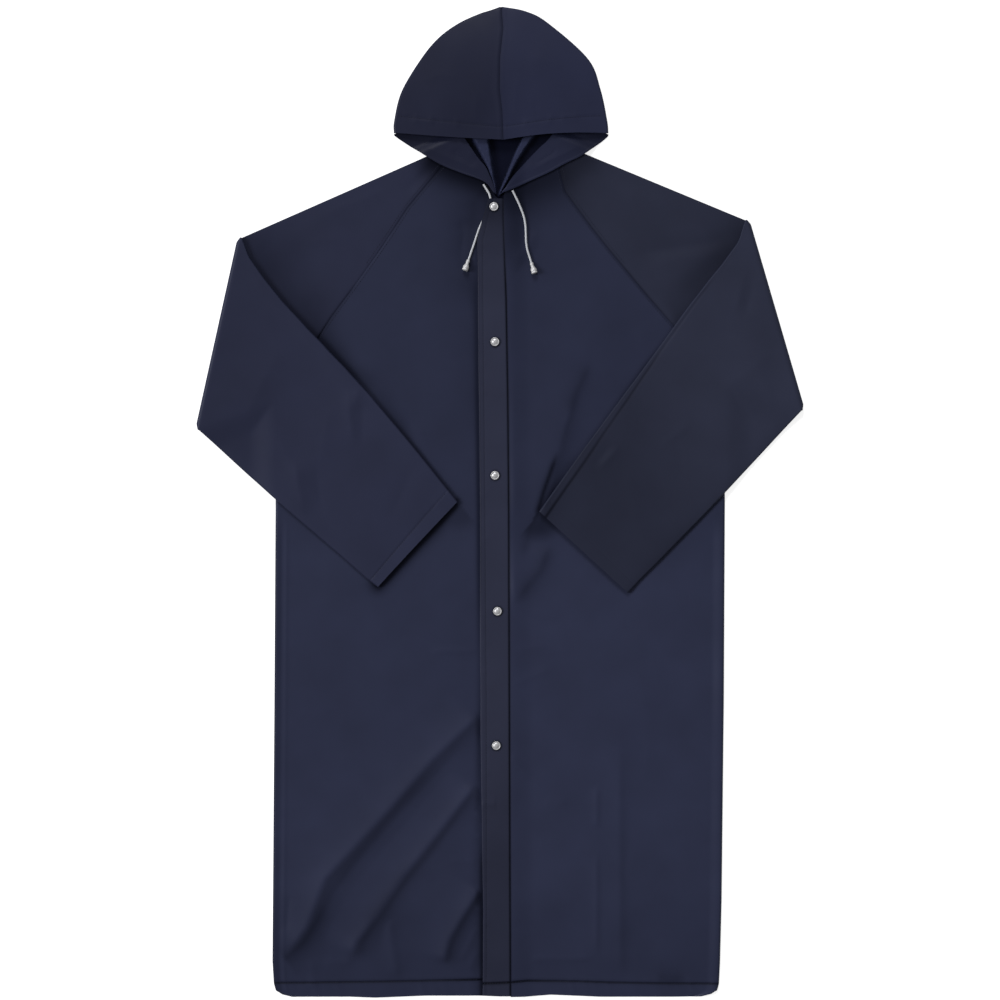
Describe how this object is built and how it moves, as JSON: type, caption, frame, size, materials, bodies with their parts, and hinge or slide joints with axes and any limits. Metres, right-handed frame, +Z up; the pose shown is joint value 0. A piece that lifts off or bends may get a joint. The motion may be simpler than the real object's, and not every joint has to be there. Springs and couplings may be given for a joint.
{
  "type": "hooded raincoat",
  "caption": "Long hooded raincoat laid flat on its back: raglan sleeves folded forward over the fronts, snap placket, drawstring hood.",
  "frame": {"origin": "on the floor under the middle of the coat's outline, which is the middle of its back panel", "axes": "+Z up from the surface it lies on, +Y from the hem to the hood, +X towards the wearer's left side"},
  "size_m": [0.8656, 1.418, 0.017],
  "materials": {
    "coated_cloth": "dark navy waterproof coated cloth, soft satin",
    "snap_metal": "light grey metal snap caps",
    "cord_braid": "light grey braided cord",
    "cord_bell": "silver grey moulded cord ends"
  },
  "bodies": {
    "root": {"back_panel": "coated_cloth", "front_right": "coated_cloth", "front_left": "coated_cloth", "placket": "coated_cloth", "sleeve_right": "coated_cloth", "sleeve_left": "coated_cloth", "hood_right": "coated_cloth", "hood_left": "coated_cloth", "snap_1": "snap_metal", "snap_2": "snap_metal", "snap_3": "snap_metal", "snap_4": "snap_metal", "snap_5": "snap_metal", "cord_right": "cord_braid", "cord_left": "cord_braid", "cord_end_right": "cord_bell", "cord_end_left": "cord_bell"}
  },
  "joints": []
}
